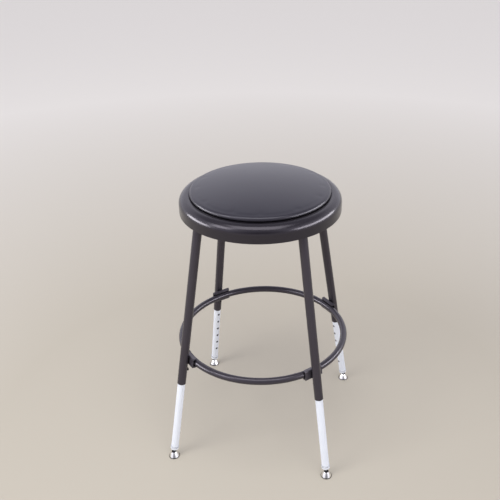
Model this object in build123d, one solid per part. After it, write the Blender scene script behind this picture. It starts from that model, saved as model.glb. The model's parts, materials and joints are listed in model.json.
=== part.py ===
from build123d import *
import math
import os

os.makedirs("parts", exist_ok=True)

# Round padded stool: pressed seat pan, four splayed tube legs with sliding extensions, foot ring and
# swivel glides. Millimetres, +Z up, floor at z = 0, the seat's middle over the origin.

# Seat pan, a round steel pressing with its open side down
seat_rim_z = 596.0       # lower edge of the skirt above the floor
pan_radius = 180.0
pan_height = 37.0
pan_sheet = 1.5
pan_shoulder = 18.0      # outside radius of the bend from top to skirt

# Cushion, seated on the pan's top
pan_land = 24.0          # width of the pan left free around the cushion
cushion_edge = 3.5       # height of the widest line, and radius of the tuck below it
cushion_crown = 20.0     # rise from the widest line to the middle
cushion_shoulder = 10.0  # radius that rounds the crown into the side
cover_thickness = 1.0
hem_width = 24.0         # cover turned in below the board
board_thickness = 6.0
foam_edge = 5.0          # foam between the board's edge and the cover

# Staples through the hem into the board
staple_count = 20
staple_width = 10.0
staple_leg = 4.5
staple_wire = 0.6
staple_inset = 12.0      # from the hem's inner edge

# Screws and tee nuts that hold the cushion on the pan
cushion_screw_count = 4
cushion_screw_circle = 92.0
cushion_screw_radius = 2.5
cushion_head_radius = 5.0
cushion_head_height = 3.0
cushion_hole_clearance = 0.3
tee_flange_radius = 8.5
tee_flange_thickness = 1.0
tee_barrel_wall = 0.8
tee_barrel_margin = 0.6  # board left below the barrel

# Legs: upper tube, lock screw and extension
leg_names = ("front_left", "front_right", "rear_right", "rear_left")
first_leg_angle = 225.0  # degrees from +X, the others follow by quarter turns
leg_inset = 22.0         # leg axis in from the pan's outside, at the skirt's lower edge
leg_bend_gap = 0.3       # between a leg's end and the bend of the pan
leg_splay = 10.13        # degrees from upright
tube_radius = 10.0
tube_wall = 0.9
tube_end_round = 0.5
tube_tail = 35.2         # upper tube below the lock screw
slide_clearance = 0.3
extension_wall = 1.0
extension_tail = 20.0    # extension above its top hole
hole_pitch = 25.4
holes_above = 1          # holes above the one in use
hole_radius = 2.4
hole_floor = 32.0        # least height of a hole above the collar

lock_below_ring = 26.2   # from the ring's centre, along the leg
lock_radius = 2.0
lock_hole_clearance = 0.05
lock_tip_clearance = 0.3  # tip to extension when backed off
lock_reach = 0.6         # tip beyond the extension's wall when driven in
lock_seat_gap = 0.3      # head to tube when driven in
lock_head_radius = 4.0
lock_head_height = 2.3
lock_head_edge = 0.9
recess_length = 4.4
recess_width = 0.9
recess_depth = 1.1

# Foot ring and its brackets
ring_z = 262.8
ring_radius = 8.0        # of the tube
ring_wall = 1.2
bracket_length = 45.0
bracket_web = 3.0
bracket_flange = 3.0
bracket_shelf = 4.5      # lower flange past the ring's centre
bracket_hood = 1.5       # upper flange short of the ring's centre
bracket_headroom = 1.0   # upper flange above the ring
bracket_bend = 2.5
bracket_corner = 5.0
bracket_saddle = 0.5     # depth of the web's seat on the leg
bracket_groove = 0.3     # depth of the ring's seat in the lower flange
bracket_ring_gap = 0.7

# Swivel glides
ball_radius = 4.0
stem_radius = 2.0
socket_clearance = 0.3
glide_tilt = 15.0        # degrees each way from the leg's line
stem_reach = 12.8        # ball centre to collar
rivet_radius = 4.5
rivet_height = 1.5
collar_wall = 0.8
collar_floor = 3.0
collar_round = 4.0       # bottom edge
collar_land = 3.2        # straight stretch above the round
collar_groove = 0.45     # depth of the groove below the lip
collar_groove_height = 1.2
collar_lip = 0.3
collar_lip_height = 1.6
bushing_floor = 2.2
neck_rise = 6.5          # top of the neck above the ball's centre
neck_wall = 1.0
turn_clearance = 0.3
base_sole = 1.2
base_wall = 1.2
base_height = 13.3
base_radius = 12.4       # foot of the bell
base_lean = 26.0         # degrees of the bell's side from upright, at its foot
base_rim = 0.5           # rim past the bell's foot
base_rim_round = 0.3

# Places worked out from the sizes
pan_top = seat_rim_z + pan_height
pan_under = pan_top - pan_sheet
pan_flat = pan_radius - pan_shoulder
pan_bend = (pan_flat, pan_height - pan_shoulder)
pan_inside = pan_radius - pan_sheet
cushion_radius = pan_radius - pan_land
leg_radius = pan_radius - leg_inset
splay = math.radians(leg_splay)
floor_radius = leg_radius + seat_rim_z * math.tan(splay)
extension_radius = tube_radius - tube_wall - slide_clearance
ring_offset = tube_radius - bracket_saddle + bracket_web + bracket_ring_gap + ring_radius
ring_station = (ring_z + ring_offset * math.sin(splay)) / math.cos(splay)
ring_circle = floor_radius - ring_station * math.sin(splay) - ring_offset * math.cos(splay)
lock_station = ring_station - lock_below_ring
tube_end = lock_station - tube_tail
lock_travel = lock_tip_clearance + extension_wall + lock_reach
tilt = math.radians(glide_tilt)
socket_radius = ball_radius + socket_clearance
ball_z = base_sole + turn_clearance + bushing_floor + socket_radius
ball_station = ball_z / math.cos(splay)
collar_station = ball_station + stem_reach
collar_height = collar_round + collar_land + collar_groove_height + collar_lip_height
collar_top = collar_station + collar_height
extension_end = collar_station + collar_floor
extension_top = lock_station + holes_above * hole_pitch + extension_tail
holes_below = math.floor((lock_station - collar_top - hole_floor) / hole_pitch)
board_radius = cushion_radius - foam_edge
board_bottom = pan_top + cover_thickness
board_top = board_bottom + board_thickness
hem_inner = cushion_radius - cushion_edge - hem_width
neck_opening = stem_radius / math.cos(tilt) + socket_clearance
neck_radius = neck_rise * math.tan(tilt) + neck_opening + neck_wall
bell_mouth = neck_radius + turn_clearance
bell_lean = math.radians(base_lean)
bell_run = base_radius - bell_mouth
bell_rise = base_height - base_sole
bell_reach = bell_run * math.cos(bell_lean) - bell_rise * math.sin(bell_lean)
bell_curve = (bell_run**2 + bell_rise**2) / (2 * bell_reach)
bell_centre = (
    base_radius - bell_curve * math.cos(bell_lean),
    base_sole - bell_curve * math.sin(bell_lean),
)


def spin_profile(*edges):
    # Revolves a closed outline, drawn with x as radius and y as height, about the Z axis
    return revolve(Plane.XZ * make_face(Curve() + list(edges)), Axis.Z)


def corner_arc(centre, radius, start, end):
    # Arc about a centre between two directions in degrees
    angles = [math.radians(a) for a in (start, (start + end) / 2, end)]
    return ThreePointArc(*[
        (centre[0] + radius * math.cos(a), centre[1] + radius * math.sin(a)) for a in angles
    ])


def ring_places(count, radius, z):
    return [Rot(0, 0, 360 * k / count) * Pos(radius, 0, z) for k in range(count)]


def leg_place(k):
    # Local frame of a leg: Z up along its axis from the floor, X towards the stool's middle
    turn = math.radians(first_leg_angle + 90 * k)
    out = Vector(math.cos(turn), math.sin(turn), 0)
    up = Vector(0, 0, 1)
    along = up * math.cos(splay) - out * math.sin(splay)
    inward = out * -math.cos(splay) - up * math.sin(splay)
    return Plane(origin=out * floor_radius, x_dir=inward, z_dir=along).location


def upright_place(k):
    # Upright frame on the floor below a leg's ball
    turn = math.radians(first_leg_angle + 90 * k)
    radius = floor_radius - ball_z * math.tan(splay)
    return Pos(radius * math.cos(turn), radius * math.sin(turn), 0)


def rod(radius, bottom, top):
    upward = (Align.CENTER, Align.CENTER, Align.MIN)
    return Pos(0, 0, bottom) * Cylinder(radius, top - bottom, align=upward)


def side_hole(radius, station, reach):
    # Cylinder across a leg, from its axis towards the stool's middle
    return Pos(0, 0, station) * Rot(0, 90, 0) * rod(radius, 0, reach)


def make_seat_pan():
    under = pan_height - pan_sheet
    pan = spin_profile(
        Polyline((0, under), (0, pan_height), (pan_flat, pan_height)),
        corner_arc(pan_bend, pan_shoulder, 90, 0),
        Polyline((pan_radius, pan_bend[1]), (pan_radius, 0), (pan_inside, 0), (pan_inside, pan_bend[1])),
        corner_arc(pan_bend, pan_shoulder - pan_sheet, 0, 90),
        Line((pan_flat, under), (0, under)),
    )
    hole = rod(cushion_screw_radius + cushion_hole_clearance, 0, pan_height + pan_sheet)
    holes = [p * hole for p in ring_places(cushion_screw_count, cushion_screw_circle, 0)]
    return Pos(0, 0, seat_rim_z) * (pan - holes)


def cushion_form(inset):
    # The cushion's outside, or the same drawn in by a thickness, on the pan's top
    shoulder_x = cushion_radius - cushion_shoulder
    spread = shoulder_x**2 + cushion_crown**2 - cushion_shoulder**2
    crown_radius = spread / (2 * (cushion_crown - cushion_shoulder))
    crown_z = cushion_edge + cushion_crown - crown_radius
    meet = math.degrees(math.acos(shoulder_x / (crown_radius - cushion_shoulder)))
    tuck_x = cushion_radius - cushion_edge
    return Pos(0, 0, pan_top) * spin_profile(
        Line((0, inset), (0, crown_z + crown_radius - inset)),
        corner_arc((0, crown_z), crown_radius - inset, 90, meet),
        corner_arc((shoulder_x, cushion_edge), cushion_shoulder - inset, meet, 0),
        corner_arc((tuck_x, cushion_edge), cushion_edge - inset, 0, -90),
        Line((tuck_x, inset), (0, inset)),
    )


def make_staples():
    crown = Box(staple_wire, staple_width, staple_wire, align=(Align.CENTER, Align.CENTER, Align.MIN))
    leg = Box(staple_wire, staple_wire, staple_leg, align=(Align.CENTER, Align.CENTER, Align.MIN))
    ends = (staple_width - staple_wire) / 2
    staple = crown + Pos(0, ends, 0) * leg + Pos(0, -ends, 0) * leg
    return [p * staple for p in ring_places(staple_count, hem_inner + staple_inset, pan_top)]


def make_tee_nuts():
    bottom = board_bottom + tee_barrel_margin
    nut = rod(tee_flange_radius, board_top - tee_flange_thickness, board_top)
    nut += rod(cushion_screw_radius + tee_barrel_wall, bottom, board_top)
    nut -= rod(cushion_screw_radius, bottom, board_top)
    return [p * nut for p in ring_places(cushion_screw_count, cushion_screw_circle, 0)]


def make_cushion_screws():
    screw = rod(cushion_screw_radius, pan_under, board_top - tee_flange_thickness)
    screw += rod(cushion_head_radius, pan_under - cushion_head_height, pan_under)
    return [p * screw for p in ring_places(cushion_screw_count, cushion_screw_circle, 0)]


def make_board(staples):
    board = rod(board_radius, board_bottom, board_top)
    pocket = rod(tee_flange_radius, board_top - tee_flange_thickness, board_top)
    pocket += rod(cushion_screw_radius + tee_barrel_wall, board_bottom, board_top)
    pockets = [p * pocket for p in ring_places(cushion_screw_count, cushion_screw_circle, 0)]
    return board - pockets - staples


def make_foam():
    return cushion_form(cover_thickness) - rod(board_radius, pan_top, board_top)


def make_cover(staples):
    opening = rod(hem_inner, pan_top, pan_top + cover_thickness)
    return cushion_form(0) - cushion_form(cover_thickness) - opening - staples


def above_pan():
    # What lies above the pan's underside, a little lower at the bend so that a leg stays clear of it
    under = pan_height - pan_sheet
    clear = pan_shoulder - pan_sheet - leg_bend_gap
    out, top = 2 * pan_radius, 2 * pan_height
    return Pos(0, 0, seat_rim_z) * spin_profile(
        Polyline((pan_flat, under), (0, under), (0, top), (out, top), (out, pan_bend[1])),
        Line((out, pan_bend[1]), (pan_flat + clear, pan_bend[1])),
        corner_arc(pan_bend, clear, 0, 90),
        Line((pan_flat, pan_bend[1] + clear), (pan_flat, under)),
    )


def make_leg_tube(k):
    long_end = (pan_top + tube_radius) / math.cos(splay)
    tube = rod(tube_radius, tube_end, long_end) - rod(tube_radius - tube_wall, tube_end, long_end)
    low_edges = tube.edges().filter_by(GeomType.CIRCLE).group_by(Axis.Z)[0]
    tube = fillet(low_edges.sort_by(SortBy.RADIUS)[-1], tube_end_round)
    tube -= side_hole(lock_radius + lock_hole_clearance, lock_station, 2 * tube_radius)
    return leg_place(k) * tube - above_pan()


def make_extension(k):
    tube = rod(extension_radius, extension_end, extension_top)
    tube -= rod(extension_radius - extension_wall, extension_end, extension_top)
    stations = [lock_station + n * hole_pitch for n in range(-holes_below, holes_above + 1)]
    return leg_place(k) * (tube - [side_hole(hole_radius, s, 2 * extension_radius) for s in stations])


def make_lock_screw(k):
    # Backed off at rest, so that the tip is clear of the extension
    tip = extension_radius + lock_tip_clearance
    seat = tube_radius + lock_seat_gap + lock_travel
    edge = seat + lock_head_edge
    top = seat + lock_head_height
    rise = lock_head_height - lock_head_edge
    dome = (lock_head_radius**2 + rise**2) / (2 * rise)
    lean = math.degrees(math.acos(lock_head_radius / dome))
    screw = spin_profile(
        Polyline((0, top), (0, tip), (lock_radius, tip), (lock_radius, seat), (lock_head_radius, seat)),
        Line((lock_head_radius, seat), (lock_head_radius, edge)),
        corner_arc((0, top - dome), dome, lean, 90),
    )
    slot = Pos(0, 0, top) * Box(recess_length, recess_width, 2 * recess_depth)
    screw = screw - slot - Rot(0, 0, 90) * slot
    return leg_place(k) * Pos(0, 0, lock_station) * Rot(0, 90, 0) * screw


def make_foot_ring():
    tube = Torus(ring_circle, ring_radius) - Torus(ring_circle, ring_radius - ring_wall)
    return Pos(0, 0, ring_z) * tube


def make_bracket(k):
    back = tube_radius - bracket_saddle
    shelf_top = bracket_groove - ring_radius
    hood_low = ring_radius + bracket_headroom
    near = (Align.MIN, Align.CENTER, Align.MIN)

    def flange(low, front):
        plate = Pos(back, 0, low) * Box(front - back, bracket_length, bracket_flange, align=near)
        return fillet(plate.edges().filter_by(Axis.Z).group_by(Axis.X)[-1], bracket_corner)

    channel = Pos(back, 0, shelf_top) * Box(bracket_web, bracket_length, hood_low - shelf_top, align=near)
    channel += flange(shelf_top - bracket_flange, ring_offset + bracket_shelf)
    channel += flange(hood_low, ring_offset - bracket_hood)
    channel = fillet(channel.edges().filter_by(Axis.Y).group_by(Axis.X)[0], bracket_bend)
    channel = Pos(0, 0, ring_station) * channel - rod(tube_radius, 0, 2 * ring_station)
    return leg_place(k) * channel - Pos(0, 0, ring_z) * Torus(ring_circle, ring_radius)


def make_collar(k):
    outside = extension_radius + collar_wall
    lip = outside + collar_lip
    groove = outside - collar_groove
    groove_low = collar_round + collar_land
    lip_low = groove_low + collar_groove_height
    collar = spin_profile(
        Polyline((extension_radius, collar_floor), (stem_radius, collar_floor), (stem_radius, 0)),
        Line((stem_radius, 0), (outside - collar_round, 0)),
        corner_arc((outside - collar_round, collar_round), collar_round, -90, 0),
        Polyline((outside, collar_round), (outside, groove_low), (groove, groove_low), (groove, lip_low)),
        Polyline((groove, lip_low), (lip, lip_low), (lip, collar_height)),
        Polyline((lip, collar_height), (extension_radius, collar_height), (extension_radius, collar_floor)),
    )
    return leg_place(k) * Pos(0, 0, collar_station) * collar


def make_stem(k):
    head = collar_station + collar_floor
    stem = Pos(0, 0, ball_station) * Sphere(ball_radius)
    stem += rod(stem_radius, ball_station, head)
    stem += rod(rivet_radius, head, head + rivet_height)
    return leg_place(k) * stem


def bell_arc(inset, low, mouth):
    # The bell's curved side, drawn in by an inset, from a height up to a radius
    radius = bell_curve - inset
    start = math.asin((low - bell_centre[1]) / radius)
    end = math.acos((mouth - bell_centre[0]) / radius)
    return corner_arc(bell_centre, radius, math.degrees(start), math.degrees(end))


def make_bushing(k):
    low = base_sole + turn_clearance
    side = bell_arc(base_wall + turn_clearance, low, neck_radius)
    neck_top = ball_z + neck_rise
    bushing = spin_profile(
        Polyline((0, neck_top), (0, low), side @ 0),
        side,
        Polyline(side @ 1, (neck_radius, neck_top), (0, neck_top)),
    )
    bushing -= Pos(0, 0, ball_z) * Sphere(socket_radius)
    mouth = Cone(
        neck_opening,
        neck_opening + 2 * neck_rise * math.tan(tilt),
        2 * neck_rise,
        align=(Align.CENTER, Align.CENTER, Align.MIN),
    )
    return upright_place(k) * (bushing - Pos(0, 0, ball_z) * mouth)


def make_base(k):
    rim = base_radius + base_rim
    outer = bell_arc(0, base_sole, bell_mouth)
    inner = bell_arc(base_wall, base_sole, bell_mouth)
    base = spin_profile(
        Polyline((0, base_sole), (0, 0), (rim - base_rim_round, 0)),
        corner_arc((rim - base_rim_round, base_rim_round), base_rim_round, -90, 0),
        Polyline((rim, base_rim_round), (rim, base_sole), outer @ 0),
        outer,
        Line(outer @ 1, inner @ 1),
        inner,
        Line(inner @ 0, (0, base_sole)),
    )
    return upright_place(k) * base


def write(name, shapes):
    export_step(Compound(children=shapes) if isinstance(shapes, list) else shapes, f"parts/{name}.step")


staples = make_staples()
write("seat_pan", make_seat_pan())
write("seat_board", make_board(staples))
write("seat_foam", make_foam())
write("seat_cover", make_cover(staples))
write("cover_staples", staples)
write("cushion_screws", make_cushion_screws())
write("cushion_tee_nuts", make_tee_nuts())
write("foot_ring", make_foot_ring())

leg_pieces = {
    "leg_tube": make_leg_tube,
    "ring_bracket": make_bracket,
    "lock_screw": make_lock_screw,
    "leg_extension": make_extension,
    "glide_collar": make_collar,
    "glide_stem": make_stem,
    "glide_bushing": make_bushing,
    "glide_base": make_base,
}
for k, leg in enumerate(leg_names):
    for piece, make in leg_pieces.items():
        write(f"{piece}_{leg}", make(k))
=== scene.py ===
import json
import math
import random

import bpy
from mathutils import Matrix, Vector


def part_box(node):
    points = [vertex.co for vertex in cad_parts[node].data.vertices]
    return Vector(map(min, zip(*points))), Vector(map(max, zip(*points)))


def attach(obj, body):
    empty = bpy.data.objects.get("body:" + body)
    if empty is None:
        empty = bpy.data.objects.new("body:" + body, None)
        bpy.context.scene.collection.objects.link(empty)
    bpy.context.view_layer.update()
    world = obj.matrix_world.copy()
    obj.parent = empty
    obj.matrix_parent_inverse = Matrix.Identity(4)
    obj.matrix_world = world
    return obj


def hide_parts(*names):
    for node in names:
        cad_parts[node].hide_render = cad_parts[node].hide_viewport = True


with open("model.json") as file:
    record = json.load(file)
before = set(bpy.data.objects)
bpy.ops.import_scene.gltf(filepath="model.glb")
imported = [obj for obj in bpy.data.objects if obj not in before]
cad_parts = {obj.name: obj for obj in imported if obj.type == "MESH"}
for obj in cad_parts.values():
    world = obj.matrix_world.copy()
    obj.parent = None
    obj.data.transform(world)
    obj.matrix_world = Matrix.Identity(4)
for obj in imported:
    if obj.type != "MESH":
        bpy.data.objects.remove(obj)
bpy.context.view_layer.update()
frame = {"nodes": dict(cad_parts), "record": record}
nodes = frame["nodes"]
legNames = ("front_left", "front_right", "rear_right", "rear_left")
mm = 0.001
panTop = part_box("seat_pan")[1].z
print("frame loaded,", len(nodes), "nodes")


# Small helpers

def deselectAll():
    if bpy.context.object and bpy.context.object.mode != "OBJECT":
        bpy.ops.object.mode_set(mode="OBJECT")
    bpy.ops.object.select_all(action="DESELECT")


def pick(piece):
    deselectAll()
    piece.select_set(True)
    bpy.context.view_layer.objects.active = piece


def settle(piece, name, place=None):
    # puts the piece's place into its mesh, so that the object itself sits at the origin
    pick(piece)
    piece.name = name
    piece.data.name = name
    if place is not None:
        piece.matrix_world = place @ piece.matrix_world
    bpy.ops.object.transform_apply(location=True, rotation=True, scale=True)
    return piece


def applyModifier(piece, kind, **settings):
    bpy.ops.object.modifier_add(type=kind)
    modifier = piece.modifiers[-1]
    for key, value in settings.items():
        setattr(modifier, key, value)
    bpy.ops.object.modifier_apply(modifier=modifier.name)


def dress(piece, body, material):
    piece.data.materials.clear()
    piece.data.materials.append(material)
    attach(piece, body)


def turned(name, sides, rings):
    # a round body raised ring by ring from a disc, rings are (radius, height)
    deselectAll()
    radius, height = rings[0]
    bpy.ops.mesh.primitive_circle_add(vertices=sides, radius=radius, fill_type="NGON",
                                      location=(0, 0, height))
    bpy.ops.object.mode_set(mode="EDIT")
    bpy.ops.mesh.select_all(action="SELECT")
    for nextRadius, nextHeight in rings[1:]:
        rise = {"value": (0, 0, nextHeight - height)}
        bpy.ops.mesh.extrude_region_move(TRANSFORM_OT_translate=rise)
        grow = nextRadius / radius
        bpy.ops.transform.resize(value=(grow, grow, 1), center_override=(0, 0, nextHeight))
        radius, height = nextRadius, nextHeight
    bpy.ops.mesh.select_all(action="SELECT")
    bpy.ops.mesh.normals_make_consistent(inside=False)
    bpy.ops.object.mode_set(mode="OBJECT")
    return settle(bpy.context.object, name)


def arcRings(centre, radius, start, end, steps):
    angles = [math.radians(start + (end - start) * n / steps) for n in range(steps + 1)]
    return [(centre[0] + radius * math.cos(a), centre[1] + radius * math.sin(a)) for a in angles]


# Leg frames, taken from the joints: Z up along the leg, X inward to the stool's middle

joints = {j["name"]: j for j in frame["record"]["behaviour"]["joints"]}


def legFrame(leg, height):
    up = -Vector(joints["leg_slide_" + leg]["axis"]).normalized()
    inward = -Vector(joints["lock_screw_drive_" + leg]["axis"]).normalized()
    ball = Vector(joints["glide_tilt_" + leg]["pos_m"])
    origin = ball + up * ((height - ball.z) / up.z)
    place = Matrix((inward, up.cross(inward), up)).transposed().to_4x4()
    place.translation = origin
    return place


# Node helpers

def addNode(tree, kind, x, y, **settings):
    made = tree.nodes.new(kind)
    made.location = (x, y)
    for key, value in settings.items():
        setattr(made, key, value)
    return made


def setIn(made, **values):
    for key, value in values.items():
        made.inputs[key.replace("_", " ")].default_value = value
    return made


def maths(tree, x, y, operation, first, second, clamp=False):
    # each side is a socket or a plain number
    made = addNode(tree, "ShaderNodeMath", x, y, operation=operation, use_clamp=clamp)
    for side, value in zip(made.inputs, (first, second)):
        if isinstance(value, float):
            side.default_value = value
        else:
            tree.links.new(value, side)
    return made.outputs["Value"]


def fade(tree, x, y, value, start, end, low=0.0, high=1.0):
    made = addNode(tree, "ShaderNodeMapRange", x, y)
    setIn(made, From_Min=start, From_Max=end, To_Min=low, To_Max=high)
    tree.links.new(value, made.inputs["Value"])
    return made.outputs["Result"]


def spread(tree, x, y, value, low, high):
    return fade(tree, x, y, value, 0.0, 1.0, low, high)


def mixColours(tree, x, y, mask, first, second):
    mix = addNode(tree, "ShaderNodeMix", x, y, data_type="RGBA")
    if isinstance(first, tuple):
        mix.inputs[6].default_value = (*first, 1)
    else:
        tree.links.new(first, mix.inputs[6])
    mix.inputs[7].default_value = (*second, 1)
    tree.links.new(mask, mix.inputs[0])
    return mix.outputs[2]


def objectNoise(tree, x, y, spot, **values):
    made = setIn(addNode(tree, "ShaderNodeTexNoise", x, y), **values)
    tree.links.new(spot, made.inputs["Vector"])
    return made


# Shader groups

def startGroup(name, inputs, outputs):
    group = bpy.data.node_groups.new(name, "ShaderNodeTree")
    for label, value in inputs.items():
        socket = group.interface.new_socket(name=label, in_out="INPUT", socket_type="NodeSocketFloat")
        socket.default_value = value
    for label in outputs:
        group.interface.new_socket(name=label, in_out="OUTPUT", socket_type="NodeSocketFloat")
    given = addNode(group, "NodeGroupInput", -900, 0)
    result = addNode(group, "NodeGroupOutput", 700, 0)
    return group, given, result


def makeOrangePeel():
    # fine bumps of a sprayed coat, and slow patches of tone
    sockets = {"Scale": 700.0, "Patchiness": 8.0}
    group, given, result = startGroup("orangePeel", sockets, ("Height", "Patches"))
    link = group.links.new
    spot = addNode(group, "ShaderNodeTexCoord", -700, 0).outputs["Object"]
    peel = objectNoise(group, -400, 200, spot, Detail=2.0, Roughness=0.5)
    patch = objectNoise(group, -400, -100, spot, Detail=3.0, Roughness=0.55)
    link(given.outputs["Scale"], peel.inputs["Scale"])
    link(given.outputs["Patchiness"], patch.inputs["Scale"])
    link(peel.outputs["Fac"], result.inputs["Height"])
    link(patch.outputs["Fac"], result.inputs["Patches"])
    return group


def makeHandlingMarks():
    # faint smears and rubs, more of them in some places than in others
    group, given, result = startGroup("handlingMarks", {"Scale": 14.0, "Amount": 0.5}, ("Mask",))
    link = group.links.new
    spot = addNode(group, "ShaderNodeTexCoord", -700, 100).outputs["Object"]
    broad = objectNoise(group, -450, 200, spot, Detail=5.0, Roughness=0.62, Distortion=0.6)
    fine = objectNoise(group, -450, -100, spot, Scale=160.0, Detail=3.0, Roughness=0.6)
    link(given.outputs["Scale"], broad.inputs["Scale"])
    smears = fade(group, -200, 200, broad.outputs["Fac"], 0.42, 0.72)
    both = maths(group, 50, 100, "MULTIPLY", smears, fine.outputs["Fac"])
    level = maths(group, 300, 100, "MULTIPLY", both, given.outputs["Amount"], clamp=True)
    link(level, result.inputs["Mask"])
    return group


def makeEdgeWearAndGlint():
    # edges are where a bevelled normal leaves the true one; they are painted lighter, partly as wear and
    # partly as painted highlight
    group, given, result = startGroup("edgeWearAndGlint", {"Radius": 0.8 * mm, "Amount": 1.0}, ("Mask",))
    link = group.links.new
    soft = addNode(group, "ShaderNodeBevel", -650, 150, samples=4)
    true = addNode(group, "ShaderNodeNewGeometry", -650, -50)
    same = addNode(group, "ShaderNodeVectorMath", -420, 100, operation="DOT_PRODUCT")
    link(given.outputs["Radius"], soft.inputs["Radius"])
    link(soft.outputs["Normal"], same.inputs[0])
    link(true.outputs["Normal"], same.inputs[1])
    edge = fade(group, -200, 100, same.outputs["Value"], 0.96, 0.80)
    spot = addNode(group, "ShaderNodeTexCoord", -650, -250).outputs["Object"]
    rub = objectNoise(group, -420, -200, spot, Scale=120.0, Detail=4.0, Roughness=0.6)
    broken = fade(group, -200, -200, rub.outputs["Fac"], 0.45, 0.68)
    both = maths(group, 50, 0, "MULTIPLY", edge, broken)
    level = maths(group, 300, 0, "MULTIPLY", both, given.outputs["Amount"], clamp=True)
    link(level, result.inputs["Mask"])
    return group


def makeCreviceShade():
    # corners where two surfaces nearly meet, found by ambient occlusion; the materials paint shade there
    group, given, result = startGroup("creviceShade", {"Reach": 4.0 * mm}, ("Mask",))
    around = addNode(group, "ShaderNodeAmbientOcclusion", -500, 0, samples=8)
    group.links.new(given.outputs["Reach"], around.inputs["Distance"])
    deep = fade(group, -200, 0, around.outputs["AO"], 0.90, 0.40)
    group.links.new(deep, result.inputs["Mask"])
    return group


groups = {
    "orangePeel": makeOrangePeel(),
    "handlingMarks": makeHandlingMarks(),
    "edgeWearAndGlint": makeEdgeWearAndGlint(),
    "creviceShade": makeCreviceShade(),
}


# Materials

def startMaterial(name, **shaderValues):
    material = bpy.data.materials.new(name)
    material.use_nodes = True
    tree = material.node_tree
    tree.nodes.clear()
    shader = setIn(addNode(tree, "ShaderNodeBsdfPrincipled", 600, 0), **shaderValues)
    output = addNode(tree, "ShaderNodeOutputMaterial", 900, 0)
    tree.links.new(shader.outputs["BSDF"], output.inputs["Surface"])
    return material, tree, shader


def addGroup(tree, name, x, y, **values):
    made = addNode(tree, "ShaderNodeGroup", x, y, node_tree=groups[name])
    return setIn(made, **values)


def bump(tree, x, y, height, shader, distance):
    made = setIn(addNode(tree, "ShaderNodeBump", x, y), Distance=distance, Strength=1.0)
    tree.links.new(height, made.inputs["Height"])
    tree.links.new(made.outputs["Normal"], shader.inputs["Normal"])


def coatMaterial(name, look):
    material, tree, shader = startMaterial(name, IOR=1.5)
    shader.inputs["Specular Tint"].default_value = (*look["tint"], 1)
    peel = addGroup(tree, "orangePeel", -500, 100, Scale=look["peelScale"], Patchiness=look["patches"])
    marks = addGroup(tree, "handlingMarks", -500, -150, Scale=look["markScale"], Amount=look["marks"])
    wearAndGlint = addGroup(tree, "edgeWearAndGlint", -500, -400, Radius=look["wearAndGlintRadius"], Amount=look["wearAndGlint"])
    corner = addGroup(tree, "creviceShade", -500, -650, Reach=look["creviceReach"]).outputs["Mask"]
    tone = mixColours(tree, -200, 300, peel.outputs["Patches"], look["dark"], look["light"])
    # edges lighter: partly wear, partly painted highlight
    wornAndLit = mixColours(tree, 50, 300, wearAndGlint.outputs["Mask"], tone, look["wornAndLit"])
    # painted shade: the coat goes near black in corners and creases
    shaded = mixColours(tree, 250, 300, corner, wornAndLit, look["shadeInCorners"])
    tree.links.new(shaded, shader.inputs["Base Color"])
    rough = look["rough"]
    vary = look["roughSpread"]
    gloss = spread(tree, -200, -50, peel.outputs["Patches"], rough - vary, rough + vary)
    smear = spread(tree, -200, -250, marks.outputs["Mask"], 0.0, look["smear"])
    rubbed = maths(tree, 50, -50, "ADD", gloss, smear, clamp=True)
    dusty = maths(tree, 250, -50, "MAXIMUM", rubbed, corner)
    tree.links.new(dusty, shader.inputs["Roughness"])
    tree.links.new(corner, shader.inputs["Metallic"])  # painted shade: takes the sheen out of the corners
    bump(tree, 300, -300, peel.outputs["Height"], shader, look["peelDepth"])
    return material


powderLook = {
    "dark": (0.0080, 0.0067, 0.0094),
    "light": (0.0118, 0.0099, 0.0136),
    "tint": (0.95, 0.89, 1.0),
    "wornAndLit": (0.060, 0.056, 0.062),
    "shadeInCorners": (0.002, 0.002, 0.002),
    "creviceReach": 5.0 * mm,
    "rough": 0.21,
    "roughSpread": 0.05,
    "smear": 0.12,
    "peelScale": 700.0,
    "peelDepth": 0.015 * mm,
    "patches": 9.0,
    "marks": 0.6,
    "markScale": 18.0,
    "wearAndGlint": 0.35,
    "wearAndGlintRadius": 0.9 * mm,
}
# painted light: legs and foot ring get a lighter copy of the same coat
legLitLook = dict(powderLook, dark=(0.0275, 0.0238, 0.0294), light=(0.0335, 0.0292, 0.0360))
# painted light: the brackets get a still lighter copy of the coat, with bright edges as painted highlights
bracketLitLook = dict(legLitLook, dark=(0.046, 0.041, 0.049), light=(0.054, 0.048, 0.057),
                   wornAndLit=(0.13, 0.12, 0.13), wearAndGlint=0.9, wearAndGlintRadius=1.4 * mm, creviceReach=3.0 * mm)
blackScrewLook = dict(powderLook, dark=(0.006, 0.006, 0.007), light=(0.009, 0.009, 0.010), rough=0.42,
                      peelScale=1500.0, peelDepth=0.02 * mm, wearAndGlint=0.8, wearAndGlintRadius=0.4 * mm)
rubberLook = dict(powderLook, dark=(0.010, 0.010, 0.010), light=(0.016, 0.016, 0.016), rough=0.66,
                  peelScale=1800.0, peelDepth=0.03 * mm, wearAndGlint=0.15, wornAndLit=(0.05, 0.05, 0.05))


def startMetal(name, look):
    material, tree, shader = startMaterial(name, Metallic=look["metallic"])
    marks = addGroup(tree, "handlingMarks", -500, 100, Scale=look["markScale"], Amount=look["marks"])
    corner = addGroup(tree, "creviceShade", -500, 500, Reach=look["creviceReach"])
    tone = mixColours(tree, -250, 300, marks.outputs["Mask"], look["bright"], look["dull"])
    # painted shade: grooves and corners, such as under the collar's lip, go dark
    tone = mixColours(tree, 0, 300, corner.outputs["Mask"], tone, look["shadeInMetalCorners"])
    rough = look["rough"]
    gloss = spread(tree, -100, 50, marks.outputs["Mask"], rough, rough + look["roughSpread"])
    return material, tree, shader, tone, gloss


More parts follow.
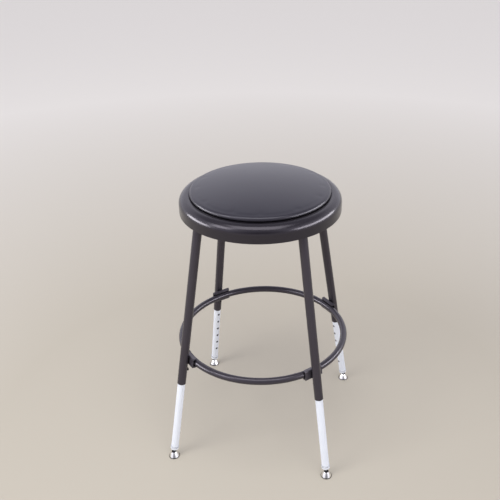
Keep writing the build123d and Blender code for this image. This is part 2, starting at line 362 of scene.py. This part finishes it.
def plateMaterial(name, look):
    material, tree, shader, tone, gloss = startMetal(name, look)
    if "rimShade" in look:
        # painted shade: the rim next to the floor goes dark
        spot = addNode(tree, "ShaderNodeTexCoord", -700, 700)
        split = addNode(tree, "ShaderNodeSeparateXYZ", -500, 700)
        tree.links.new(spot.outputs["Object"], split.inputs["Vector"])
        low = fade(tree, -250, 600, split.outputs["Z"], look["rimShadeTop"], look["rimShadeFull"])
        tone = mixColours(tree, 200, 500, low, tone, look["rimShade"])
    tree.links.new(tone, shader.inputs["Base Color"])
    tree.links.new(gloss, shader.inputs["Roughness"])
    peel = addGroup(tree, "orangePeel", -500, -300, Scale=look["grainScale"], Patchiness=20.0)
    bump(tree, 300, -300, peel.outputs["Height"], shader, look["grainDepth"])
    return material


def boreMask(tree, place, radius):
    across = addNode(tree, "ShaderNodeVectorMath", -1000, -500, operation="MULTIPLY")
    across.inputs[1].default_value = (1.0, 1.0, 0.0)
    reach = addNode(tree, "ShaderNodeVectorMath", -800, -500, operation="LENGTH")
    tree.links.new(place, across.inputs[0])
    tree.links.new(across.outputs["Vector"], reach.inputs[0])
    return maths(tree, -550, -500, "LESS_THAN", reach.outputs["Value"], radius)


def holeShadeMask(tree, place, look, lockHeight):
    # painted shade: the dark edge round each hole, one pitch after another from the lock screw
    split = addNode(tree, "ShaderNodeSeparateXYZ", -1000, -700)
    wrap = addNode(tree, "ShaderNodeMath", -800, -700, operation="WRAP")
    wrap.inputs[1].default_value = lockHeight + 0.5 * look["holePitch"]
    wrap.inputs[2].default_value = lockHeight - 0.5 * look["holePitch"]
    flat = addNode(tree, "ShaderNodeCombineXYZ", -600, -700)
    away = addNode(tree, "ShaderNodeVectorMath", -400, -700, operation="DISTANCE")
    away.inputs[1].default_value = (0.0, 0.0, lockHeight)
    tree.links.new(place, split.inputs["Vector"])
    tree.links.new(split.outputs["Z"], wrap.inputs[0])
    tree.links.new(split.outputs["Y"], flat.inputs["Y"])
    tree.links.new(wrap.outputs["Value"], flat.inputs["Z"])
    tree.links.new(flat.outputs["Vector"], away.inputs[0])
    rim = fade(tree, -200, -700, away.outputs["Value"], look["holeShadeReach"], look["holeRadius"])
    inner = maths(tree, -200, -900, "GREATER_THAN", split.outputs["X"], 0.0)
    inRow = maths(tree, -200, -1100, "GREATER_THAN", split.outputs["Z"], look["rowFoot"])
    oneSide = maths(tree, 0, -800, "MULTIPLY", rim, inner)
    return maths(tree, 200, -800, "MULTIPLY", oneSide, inRow)


def tubeMaterial(name, look, leg):
    material, tree, shader, tone, gloss = startMetal(name, look)
    # the leg's own axes tell the bore and the holes from the outside; the bore is painted near black as
    # shade
    legAxes = legFrame(leg, 0.0).inverted()
    screwHeights = [(legAxes @ v.co).z for v in nodes["lock_screw_" + leg].data.vertices]
    lockHeight = (min(screwHeights) + max(screwHeights)) / 2
    spot = addNode(tree, "ShaderNodeTexCoord", -1400, -300)
    turn = addNode(tree, "ShaderNodeMapping", -1200, -300)
    turn.inputs["Location"].default_value = legAxes.translation
    turn.inputs["Rotation"].default_value = legAxes.to_euler()
    tree.links.new(spot.outputs["Object"], turn.inputs["Vector"])
    place = turn.outputs["Vector"]
    bore = boreMask(tree, place, look["boreRadius"])
    # painted shade inside the tube
    tone = mixColours(tree, 200, 300, bore, tone, look["boreShade"])
    holeShade = holeShadeMask(tree, place, look, lockHeight)
    tone = mixColours(tree, 400, 300, holeShade, tone, look["boreShade"])
    tree.links.new(tone, shader.inputs["Base Color"])
    # faint lines drawn along the tube
    stretch = addNode(tree, "ShaderNodeVectorMath", -1000, -300, operation="MULTIPLY")
    stretch.inputs[1].default_value = (1.0, 1.0, look["lineStretch"])
    tree.links.new(place, stretch.inputs[0])
    drawn = objectNoise(tree, -550, -300, stretch.outputs["Vector"], Scale=look["lineScale"], Detail=3.0,
                        Roughness=0.6)
    lines = drawn.outputs["Fac"]
    streak = spread(tree, -100, -150, lines, -look["lineRough"], look["lineRough"])
    both = maths(tree, 200, 0, "ADD", gloss, streak, clamp=True)
    tree.links.new(both, shader.inputs["Roughness"])
    bump(tree, 300, -300, lines, shader, look["grainDepth"])
    return material


# painted reflection: the bright plate of the tubes and collars is a near-white colour with little metal,
# standing in for a mirror of bright surroundings
platedLook = {
    "metallic": 0.15,
    "bright": (0.87, 0.92, 0.995),
    "dull": (0.82, 0.87, 0.955),
    "shadeInMetalCorners": (0.10, 0.095, 0.09),
    "creviceReach": 1.5 * mm,
    "rough": 0.32,
    "roughSpread": 0.10,
    "marks": 0.8,
    "markScale": 22.0,
    "grainScale": 900.0,
    "grainDepth": 0.002 * mm,
}
tubeLook = dict(platedLook, boreRadius=8.75 * mm, boreShade=(0.006, 0.006, 0.006), holePitch=25.4 * mm,
                holeRadius=2.4 * mm, holeShadeReach=3.9 * mm, rowFoot=54.0 * mm, lineStretch=0.012,
                lineScale=1400.0, lineRough=0.06)
collarLook = dict(platedLook, rough=0.26, creviceReach=3.5 * mm, markScale=60.0)
nickelLook = dict(platedLook, metallic=1.0, bright=(0.90, 0.89, 0.88), dull=(0.74, 0.73, 0.72), rough=0.13,
                  markScale=60.0, grainDepth=0.006 * mm, rimShade=(0.05, 0.046, 0.042), rimShadeTop=2.4 * mm,
                  rimShadeFull=1.44 * mm)
zincLook = dict(platedLook, metallic=1.0, bright=(0.62, 0.63, 0.65), dull=(0.48, 0.48, 0.49), rough=0.33,
                markScale=90.0, grainScale=1400.0, grainDepth=0.01 * mm)

vinylLook = {
    "dark": (0.0150, 0.0140, 0.0200),
    "light": (0.0190, 0.0178, 0.0245),
    "shadeInCorners": (0.003, 0.003, 0.003),
    "tint": (0.93, 0.90, 1.0),
    "rough": 0.30,
    "roughSpread": 0.06,
    "marks": 0.9,
    "markScale": 11.0,
    "creviceReach": 3.0 * mm,
    "grainScale": 950.0,
    "grainDepth": 0.01 * mm,
    "cellBend": 1.2 * mm,
    "poreScale": 2600.0,
    "poreShare": 0.35,
}


def vinylMaterial(look):
    material, tree, shader = startMaterial("seatVinyl", IOR=1.5)
    shader.inputs["Specular Tint"].default_value = (*look["tint"], 1)
    marks = addGroup(tree, "handlingMarks", -600, 250, Scale=look["markScale"], Amount=look["marks"])
    corner = addGroup(tree, "creviceShade", -600, 500, Reach=look["creviceReach"])
    tone = mixColours(tree, -100, 300, marks.outputs["Mask"], look["dark"], look["light"])
    # painted shade: near black in the crease under the cushion's tucked edge
    shaded = mixColours(tree, 150, 300, corner.outputs["Mask"], tone, look["shadeInCorners"])
    tree.links.new(shaded, shader.inputs["Base Color"])
    rough = look["rough"]
    gloss = spread(tree, -100, 50, marks.outputs["Mask"], rough, rough + look["roughSpread"])
    tree.links.new(gloss, shader.inputs["Roughness"])
    # embossed grain: small uneven cells with fine pores between them
    spot = addNode(tree, "ShaderNodeTexCoord", -900, -250).outputs["Object"]
    bend = addNode(tree, "ShaderNodeTexNoise", -700, -400)
    setIn(bend, Scale=260.0, Detail=2.0)
    tree.links.new(spot, bend.inputs["Vector"])
    shift = addNode(tree, "ShaderNodeVectorMath", -600, -200, operation="MULTIPLY_ADD")
    shift.inputs[1].default_value = (look["cellBend"],) * 3
    tree.links.new(bend.outputs["Color"], shift.inputs[0])
    tree.links.new(spot, shift.inputs[2])
    cells = addNode(tree, "ShaderNodeTexVoronoi", -450, -200, feature="SMOOTH_F1")
    setIn(cells, Scale=look["grainScale"], Smoothness=0.6)
    tree.links.new(shift.outputs["Vector"], cells.inputs["Vector"])
    pores = objectNoise(tree, -450, -500, spot, Scale=look["poreScale"], Detail=2.0)
    grain = addNode(tree, "ShaderNodeMath", -150, -300, operation="MULTIPLY_ADD")
    grain.inputs[1].default_value = look["poreShare"]
    tree.links.new(pores.outputs["Fac"], grain.inputs[0])
    tree.links.new(cells.outputs["Distance"], grain.inputs[2])
    bump(tree, 300, -300, grain.outputs["Value"], shader, look["grainDepth"])
    return material


plyLook = {
    "brown": (0.50, 0.32, 0.17),
    "pale": (0.72, 0.54, 0.34),
    "stretch": (4.0, 60.0, 400.0),
    "rough": 0.75,
    "depth": 0.2 * mm,
}


def plyMaterial(look):
    material, tree, shader = startMaterial("rawPlywood", Roughness=look["rough"])
    spot = addNode(tree, "ShaderNodeTexCoord", -900, 0)
    stretch = addNode(tree, "ShaderNodeMapping", -700, 0)
    stretch.inputs["Scale"].default_value = look["stretch"]
    tree.links.new(spot.outputs["Object"], stretch.inputs["Vector"])
    grain = objectNoise(tree, -450, 0, stretch.outputs["Vector"], Scale=3.0, Detail=6.0, Distortion=0.8)
    tone = mixColours(tree, -100, 200, grain.outputs["Fac"], look["brown"], look["pale"])
    tree.links.new(tone, shader.inputs["Base Color"])
    bump(tree, 300, -300, grain.outputs["Fac"], shader, look["depth"])
    return material


foamLook = {
    "deep": (0.72, 0.62, 0.38),
    "pale": (0.86, 0.78, 0.55),
    "rough": 0.9,
    "cellScale": 900.0,
    "depth": 0.4 * mm,
}


def foamMaterial(look):
    material, tree, shader = startMaterial("opencellFoam", Roughness=look["rough"])
    peel = addGroup(tree, "orangePeel", -500, 0, Scale=look["cellScale"], Patchiness=30.0)
    tone = mixColours(tree, -100, 200, peel.outputs["Height"], look["deep"], look["pale"])
    tree.links.new(tone, shader.inputs["Base Color"])
    bump(tree, 300, -300, peel.outputs["Height"], shader, look["depth"])
    return material


powderCoat = coatMaterial("charcoalPowderCoat", powderLook)
legLitCoat = coatMaterial("legLitPowderCoat", legLitLook)
bracketLitCoat = coatMaterial("bracketLitPowderCoat", bracketLitLook)
blackScrew = coatMaterial("blackScrew", blackScrewLook)
rubber = coatMaterial("glideRubber", rubberLook)
nickel = plateMaterial("nickelPlate", nickelLook)
zinc = plateMaterial("zincPlate", zincLook)
collarPlate = plateMaterial("collarPlate", collarLook)
seatVinyl = vinylMaterial(vinylLook)
rawPlywood = plyMaterial(plyLook)
opencellFoam = foamMaterial(foamLook)
tubeFinish = {leg: tubeMaterial("brightTube_" + leg, tubeLook, leg) for leg in legNames}

plainFinish = {
    "seat_pan": powderCoat,
    "foot_ring": legLitCoat,
    "leg_tube": legLitCoat,
    "ring_bracket": bracketLitCoat,
    "lock_screw": blackScrew,
    "glide_collar": collarPlate,
    "glide_base": nickel,
    "glide_stem": zinc,
    "glide_bushing": rubber,
    "seat_board": rawPlywood,
    "cover_staples": zinc,
    "cushion_screws": zinc,
    "cushion_tee_nuts": zinc,
}
for name, piece in nodes.items():
    leg = next((each for each in legNames if name.endswith(each)), None)
    kind = name[: -len(leg) - 1] if leg else name
    finish = tubeFinish[leg] if kind == "leg_extension" else plainFinish.get(kind)
    if finish:
        piece.data.materials.clear()
        piece.data.materials.append(finish)
print("materials made:", len(bpy.data.materials))


# Cushion: vinyl drawn tight over foam, swollen by a cloth simulation and tucked in at its edge

cushion = {
    "radius": 156.0 * mm,
    "edge": 3.5 * mm,
    "shoulder": 6.5 * mm,
    "crown": 19.7 * mm,
    "arcSteps": (6, 8, 44),  # tuck, shoulder and crown
    "lastAngle": 89.7,  # leaves a small disc in the middle
    "sides": 160,
    "sewnSides": 200,
    "voxel": 3.0 * mm,
    "hemHeight": 0.8 * mm,
    "frames": 20,
    "cap": 0.35 * mm,  # furthest that the cloth may move
    "smoothing": 6,
    "seamFrom": 138.0 * mm,
    "seamRamp": 8.0 * mm,
    "gathers": (37, 40, 43, 58),
    "gatherSeed": 7,
    "gatherPhases": (0, 6.28),
    "gatherShares": (0.4, 1.0),
    "gatherBias": 0.5,
    "gatherDepth": 0.12 * mm,
    "gatherHeight": 2.5 * mm,
    "gatherReach": 7.0 * mm,
    "gatherFrom": 120.0 * mm,
    "seatGap": 0.15 * mm,
    "cloth": {
        "quality": 6,
        "mass": 0.35,
        "tension_stiffness": 40,
        "compression_stiffness": 40,
        "bending_stiffness": 20.0,
        "use_pressure": True,
        "uniform_pressure_force": 4.0,
        "vertex_group_mass": "heldHem",
    },
}


def cushionRings(inset, bottom):
    edge = cushion["edge"]
    radius = cushion["radius"]
    bend = cushion["shoulder"]
    crown = cushion["crown"]
    acrossBend = radius - bend
    crownRadius = (acrossBend**2 + crown**2 - bend**2) / (2 * (crown - bend))
    crownZ = edge + crown - crownRadius
    meet = math.degrees(math.acos(acrossBend / (crownRadius - bend)))
    tuckSteps, bendSteps, crownSteps = cushion["arcSteps"]
    rings = arcRings((radius - edge, edge), edge - inset, -90, 0, tuckSteps)
    rings += arcRings((acrossBend, edge), bend - inset, 0, meet, bendSteps)[1:]
    rings += arcRings((0, crownZ), crownRadius - inset, meet, cushion["lastAngle"], crownSteps)[1:]
    return [(r, panTop + z) for r, z in rings if z >= bottom]


def swell(pad):
    # the cover is blown out a little while its hem is held
    held = pad.vertex_groups.new(name="heldHem")
    low = [v.index for v in pad.data.vertices if v.co.z < panTop + cushion["hemHeight"]]
    held.add(low, 1.0, "REPLACE")
    start = [v.co.copy() for v in pad.data.vertices]
    bpy.ops.object.modifier_add(type="CLOTH")
    cloth = pad.modifiers[-1]
    for key, value in cushion["cloth"].items():
        setattr(cloth.settings, key, value)
    cloth.settings.effector_weights.gravity = 0
    cloth.collision_settings.use_collision = False
    scene = bpy.context.scene
    for tick in range(1, cushion["frames"] + 1):
        scene.frame_set(tick)
    bpy.ops.object.modifier_apply(modifier=cloth.name)
    scene.frame_set(1)
    for v, before in zip(pad.data.vertices, start):
        move = v.co - before
        if move.length > cushion["cap"]:
            v.co = before + move.normalized() * cushion["cap"]


def sewEdge(pad, sewn):
    # the edge is sewn and keeps its line
    seam = pad.vertex_groups.new(name="seam")
    for v in pad.data.vertices:
        out = (Vector((v.co.x, v.co.y)).length - cushion["seamFrom"]) / cushion["seamRamp"]
        seam.add([v.index], min(1.0, max(0.0, out)), "REPLACE")
    applyModifier(pad, "SHRINKWRAP", target=sewn, vertex_group="seam")


def gatherEdge(pad):
    # light gathers where the vinyl is pulled under, and a flat seat on the pan
    draw = random.Random(cushion["gatherSeed"])
    phases = cushion["gatherPhases"]
    shares = cushion["gatherShares"]
    waves = [(count, draw.uniform(*phases), draw.uniform(*shares)) for count in cushion["gathers"]]
    for v in pad.data.vertices:
        reach = Vector((v.co.x, v.co.y)).length
        offLine = abs(v.co.z - panTop - cushion["gatherHeight"])
        near = max(0.0, 1 - offLine / cushion["gatherReach"]) if reach > cushion["gatherFrom"] else 0.0
        if near:
            turn = math.atan2(v.co.y, v.co.x)
            pulls = [share * math.cos(count * turn + phase) for count, phase, share in waves]
            pull = sum(pulls) / len(waves) - cushion["gatherBias"]
            drawIn = cushion["gatherDepth"] * near * near * pull
            v.co.x += v.co.x / reach * drawIn
            v.co.y += v.co.y / reach * drawIn
        v.co.z = max(v.co.z, panTop + cushion["seatGap"])


def makeCushion():
    rings = cushionRings(0.0, 0.0)
    sewn = turned("sewnCover", cushion["sewnSides"], rings)
    pad = turned("seatCushion", cushion["sides"], rings)
    pick(pad)
    pad.data.remesh_voxel_size = cushion["voxel"]
    bpy.ops.object.voxel_remesh()
    swell(pad)
    applyModifier(pad, "SMOOTH", factor=0.5, iterations=cushion["smoothing"])
    applyModifier(pad, "SUBSURF", levels=1, render_levels=1)
    sewEdge(pad, sewn)
    bpy.data.objects.remove(sewn)
    gatherEdge(pad)
    bpy.ops.object.shade_smooth()
    return pad


seatCushion = makeCushion()
dress(seatCushion, "frame", seatVinyl)
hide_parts("seat_cover")
print("cushion faces:", len(seatCushion.data.polygons))

foam = {"inset": 3.2 * mm, "lift": 0.2 * mm, "sides": 96, "sharpAngle": 40}
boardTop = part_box("seat_board")[1].z
foamPad = turned("foamPad", foam["sides"], cushionRings(foam["inset"], boardTop - panTop + foam["lift"]))
bpy.ops.object.shade_smooth_by_angle(angle=math.radians(foam["sharpAngle"]))
dress(foamPad, "frame", opencellFoam)
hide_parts("seat_foam")
print("foam pad laid")


# Weld beads at the brackets and under the pan

weld = {
    "radius": 1.7 * mm,
    "length": 17.0 * mm,
    "sides": 10,
    "ripple": 0.13,
    "pitch": 1.6 * mm,
    "ripplesHalfway": 19,  # ripples in half a turn of the collar
    "lift": 3.8 * mm,  # middle of a bead above the ring's middle
    "legOffset": 9.1 * mm,
    "legSpread": 5.2 * mm,
    "collarRadius": 10.2 * mm,
    "collarSegments": 120,
}


def beadRings():
    perRipple = 4
    steps = int(weld["length"] / weld["pitch"]) * perRipple
    rings = []
    for n in range(steps + 1):
        along = n / steps - 0.5
        taper = math.sqrt(max(0.02, 1 - (2 * abs(along)) ** 6))  # blunt ends
        lap = 1 - weld["ripple"] * ((n % perRipple) / (perRipple - 1))
        rings.append((weld["radius"] * taper * lap, weld["length"] * along))
    return rings


def bracketWelds(bead, leg, ringZ):
    place = legFrame(leg, ringZ + weld["lift"])
    for side, label in ((1, "a"), (-1, "b")):
        copy = bead.copy()
        copy.data = bead.data.copy()
        bpy.context.collection.objects.link(copy)
        offset = Matrix.Translation((weld["legOffset"], side * weld["legSpread"], 0))
        settle(copy, f"bracketWeld_{leg}_{label}", place @ offset)
        dress(copy, "frame", powderCoat)


def panWeld(leg):
    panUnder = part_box("leg_tube_" + leg)[1].z
    place = legFrame(leg, panUnder)
    deselectAll()
    bpy.ops.mesh.primitive_torus_add(major_radius=weld["collarRadius"], minor_radius=weld["radius"],
                                     major_segments=weld["collarSegments"], minor_segments=weld["sides"],
                                     location=place.translation)
    ring = bpy.context.object
    for v in ring.data.vertices:
        turn = math.atan2(v.co.y, v.co.x)
        lap = 1 - weld["ripple"] * ((turn * weld["ripplesHalfway"] / math.pi) % 1)
        centre = Vector((math.cos(turn), math.sin(turn), 0)) * weld["collarRadius"]
        v.co = centre + (v.co - centre) * lap
        v.co.z = min(v.co.z, 0.0)
    bpy.ops.object.shade_smooth()
    settle(ring, "panWeld_" + leg)
    dress(ring, "frame", powderCoat)


ringLow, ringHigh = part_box("foot_ring")
firstBead = turned("bead", weld["sides"], beadRings())
bpy.ops.object.shade_smooth()
for leg in legNames:
    bracketWelds(firstBead, leg, (ringLow.z + ringHigh.z) / 2)
bpy.data.objects.remove(firstBead)
for leg in legNames:
    panWeld(leg)
print("weld beads placed")


# Floor, light and camera

floorLook = {
    "size": 40.0,
    # painted light: the floor is darker near the stool and lighter further off, making up for lamp light
    # that falls off away from it
    "near": (0.46, 0.423, 0.352),
    "far": (0.80, 0.77, 0.705),
    "fadeFrom": 0.7,
    "fadeTo": 3.0,
    "rough": 0.75,
}


def makeFloor():
    deselectAll()
    bpy.ops.mesh.primitive_plane_add(size=floorLook["size"], location=(0, 0, 0))
    floor = bpy.context.object
    floor.name = "paleFloor"
    material, tree, shader = startMaterial("paleFloor", Roughness=floorLook["rough"], Specular_IOR_Level=0.0)
    spot = addNode(tree, "ShaderNodeTexCoord", -600, 0)
    reach = addNode(tree, "ShaderNodeVectorMath", -400, 0, operation="LENGTH")
    tree.links.new(spot.outputs["Object"], reach.inputs[0])
    away = fade(tree, -200, 0, reach.outputs["Value"], floorLook["fadeFrom"], floorLook["fadeTo"])
    tone = mixColours(tree, 100, 0, away, floorLook["near"], floorLook["far"])
    tree.links.new(tone, shader.inputs["Base Color"])
    floor.data.materials.append(material)
    return floor


floor = makeFloor()

worldLook = {
    "horizon": (1.10, 1.09, 1.20),
    "overhead": (0.42, 0.42, 0.47),
    "liftFrom": 0.57,
    "liftTo": 0.72,
    "fill": 1.3,  # strength as soft light
    "seen": 1.0,  # strength where it shows or mirrors
    "front": (0.21, -0.97, 0.05),
    "frontFrom": 0.72,
    "frontTo": 0.97,
    "frontDark": 0.2,
    "backdrop": (0.66, 0.64, 0.61),
}


def makeWorld(look):
    world = bpy.data.worlds.new("studioWorld")
    bpy.context.scene.world = world
    world.use_nodes = True
    tree = world.node_tree
    tree.nodes.clear()
    way = addNode(tree, "ShaderNodeTexCoord", -900, 0).outputs["Generated"]
    rays = addNode(tree, "ShaderNodeLightPath", -500, 400).outputs
    # a bright band round the horizon under a duller sky, and a plain colour behind the stool
    split = addNode(tree, "ShaderNodeSeparateXYZ", -700, 0)
    tree.links.new(way, split.inputs["Vector"])
    lift = fade(tree, -500, 0, split.outputs["Z"], look["liftFrom"], look["liftTo"])
    sky = mixColours(tree, -250, 0, lift, look["horizon"], look["overhead"])
    shown = mixColours(tree, 50, 0, rays["Is Camera Ray"], sky, look["backdrop"])
    # strength, with a dim patch in front that only the part's surfaces see
    mirrored = maths(tree, -250, 400, "MAXIMUM", rays["Is Camera Ray"], rays["Is Glossy Ray"])
    direct = maths(tree, -50, 400, "MAXIMUM", mirrored, rays["Is Transmission Ray"])
    strength = spread(tree, 150, 400, direct, look["fill"], look["seen"])
    facing = addNode(tree, "ShaderNodeVectorMath", -500, -300, operation="DOT_PRODUCT")
    facing.inputs[1].default_value = look["front"]
    tree.links.new(way, facing.inputs[0])
    dim = fade(tree, -250, -300, facing.outputs["Value"], look["frontFrom"], look["frontTo"], 1.0,
               look["frontDark"])
    lit = maths(tree, 50, -200, "MAXIMUM", dim, rays["Is Camera Ray"])
    total = maths(tree, 250, 200, "MULTIPLY", strength, lit)
    back = addNode(tree, "ShaderNodeBackground", 350, 0)
    tree.links.new(shown, back.inputs["Color"])
    tree.links.new(total, back.inputs["Strength"])
    end = addNode(tree, "ShaderNodeOutputWorld", 600, 0)
    tree.links.new(back.outputs["Background"], end.inputs["Surface"])


makeWorld(worldLook)

lamps = {
    "keyBox": {"place": (-1.7, -1.6, 2.2), "size": (1.2, 1.2), "watts": 24.0, "onFloor": True},
    "topBox": {"place": (0.08, -0.75, 2.5), "size": (2.0, 1.4), "watts": 29.0, "onFloor": True},
    "leftStrip": {"place": (-2.1, -0.45, 0.80), "size": (1.5, 0.60), "watts": 32.0, "onFloor": False},
    "rightStrip": {"place": (2.05, 0.05, 1.00), "size": (2.8, 0.5), "watts": 46.0, "onFloor": False},
}
lampAim = Vector((0, 0, 0.45))
for name, lamp in lamps.items():
    light = bpy.data.lights.new(name, "AREA")
    light.shape = "RECTANGLE"
    light.size, light.size_y = lamp["size"]
    light.energy = lamp["watts"]
    holder = bpy.data.objects.new(name, light)
    bpy.context.collection.objects.link(holder)
    holder.location = lamp["place"]
    holder.visible_diffuse = lamp["onFloor"]  # the strips show in the coat, and leave the floor even
    holder.rotation_euler = (lampAim - holder.location).to_track_quat("-Z", "Y").to_euler()

shot = {
    "around": 12.39,
    "distance": 1.4539,
    "height": 1.2679,
    "pan": 2.35,
    "tilt": 28.27,
    "lens": 51.65,
    "shift": -0.075,
    "sensor": 36,
    "clip": (0.05, 100),
}
camera = bpy.data.objects.new("photoCamera", bpy.data.cameras.new("photoCamera"))
bpy.context.collection.objects.link(camera)
around = math.radians(shot["around"])
sideways = shot["distance"] * math.sin(around)
backwards = shot["distance"] * math.cos(around)
camera.location = (sideways, -backwards, shot["height"])
camera.rotation_euler = (math.radians(90 - shot["tilt"]), 0, around - math.radians(shot["pan"]))
camera.data.sensor_width = shot["sensor"]
camera.data.lens = shot["lens"]
camera.data.shift_x = shot["shift"]
camera.data.clip_start, camera.data.clip_end = shot["clip"]
bpy.context.scene.camera = camera
bpy.context.scene.view_settings.view_transform = "Standard"

print("stage set")
